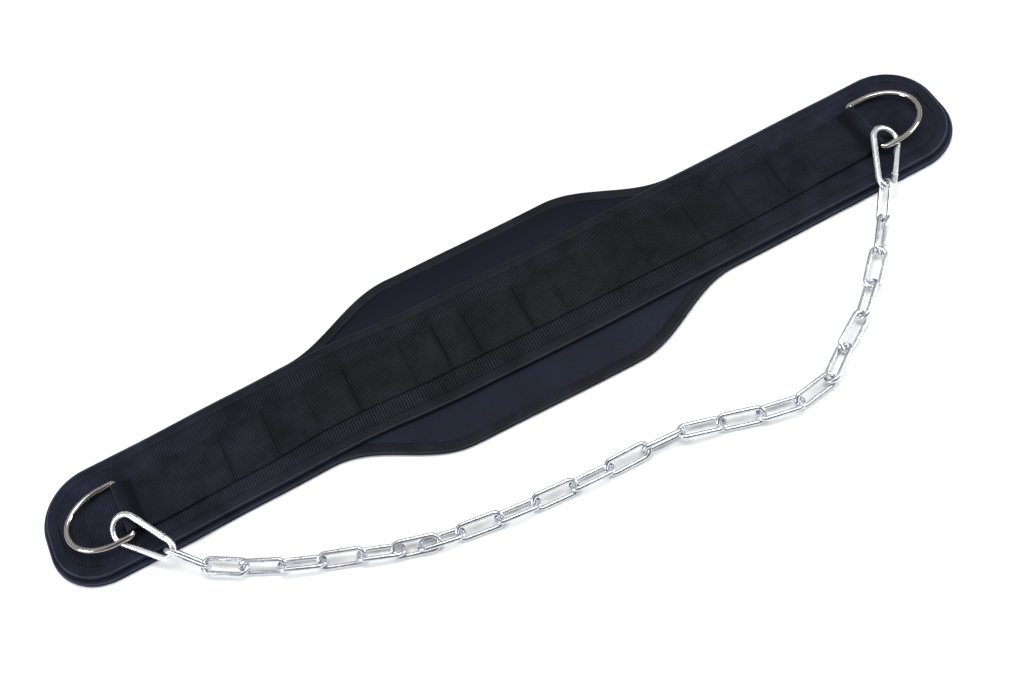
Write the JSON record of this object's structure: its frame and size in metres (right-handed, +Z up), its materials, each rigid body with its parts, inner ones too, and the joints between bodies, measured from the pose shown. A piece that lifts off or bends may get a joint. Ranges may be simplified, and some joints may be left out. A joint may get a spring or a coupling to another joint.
{
  "type": "dip belt",
  "caption": "Padded waist belt for dips and chin-ups that carries a weight on a steel chain, clipped by snap carabiners to a D-ring at each end.",
  "frame": {"origin": "middle of the base pad's underside, on the surface that the belt lies on", "axes": "+X along the belt from the left ring to the right one, +Z up through the pad and the strap, -Y towards the side where the chain lies"},
  "size_m": [0.8496, 0.2942, 0.0279],
  "materials": {
    "neoprene": "smooth dark navy cloth over foam rubber",
    "binding_tape": "black ribbed binding tape, stitched",
    "strip_cloth": "dark woven cloth over thin foam",
    "wide_webbing": "dark grey ribbed webbing",
    "strap_webbing": "black ribbed webbing with a slight sheen",
    "nickel_steel": "nickel-plated steel",
    "zinc_steel": "bright zinc-plated steel"
  },
  "bodies": {
    "belt": {"base_pad": "neoprene", "base_binding": "binding_tape", "strip_pad": "strip_cloth", "strip_binding": "binding_tape", "wide_webbing": "wide_webbing", "strap": "strap_webbing", "d_ring_left": "nickel_steel", "d_ring_right": "nickel_steel", "carabiner_left_body": "zinc_steel", "carabiner_left_rivet": "zinc_steel", "carabiner_right_body": "zinc_steel", "carabiner_right_rivet": "zinc_steel", "link_01": "zinc_steel", "link_02": "zinc_steel", "link_03": "zinc_steel", "link_04": "zinc_steel", "link_05": "zinc_steel", "link_06": "zinc_steel", "link_07": "zinc_steel", "link_08": "zinc_steel", "link_09": "zinc_steel", "link_10": "zinc_steel", "link_11": "zinc_steel", "link_12": "zinc_steel", "link_13": "zinc_steel", "link_14": "zinc_steel", "link_15": "zinc_steel", "link_16": "zinc_steel", "link_17": "zinc_steel", "link_18": "zinc_steel", "link_19": "zinc_steel", "link_20": "zinc_steel", "link_21": "zinc_steel", "link_22": "zinc_steel", "link_23": "zinc_steel", "link_24": "zinc_steel"},
    "left_gate": {"carabiner_left_gate": "zinc_steel"},
    "right_gate": {"carabiner_right_gate": "zinc_steel"}
  },
  "joints": [
    {"name": "left_gate_swing", "type": "hinge", "parent": "belt", "child": "left_gate", "pos_m": [-0.33035, -0.04968, 0.02155], "axis": [-0.3843, -0.3458, 0.856], "range_deg": [0, 6], "stiffness_Nm_per_rad": 0.03, "springref_deg": -11.46},
    {"name": "right_gate_swing", "type": "hinge", "parent": "belt", "child": "right_gate", "pos_m": [0.34351, -0.05493, 0.01292], "axis": [0.4103, -0.3146, 0.856], "range_deg": [0, 7], "stiffness_Nm_per_rad": 0.03, "springref_deg": -11.46}
  ]
}
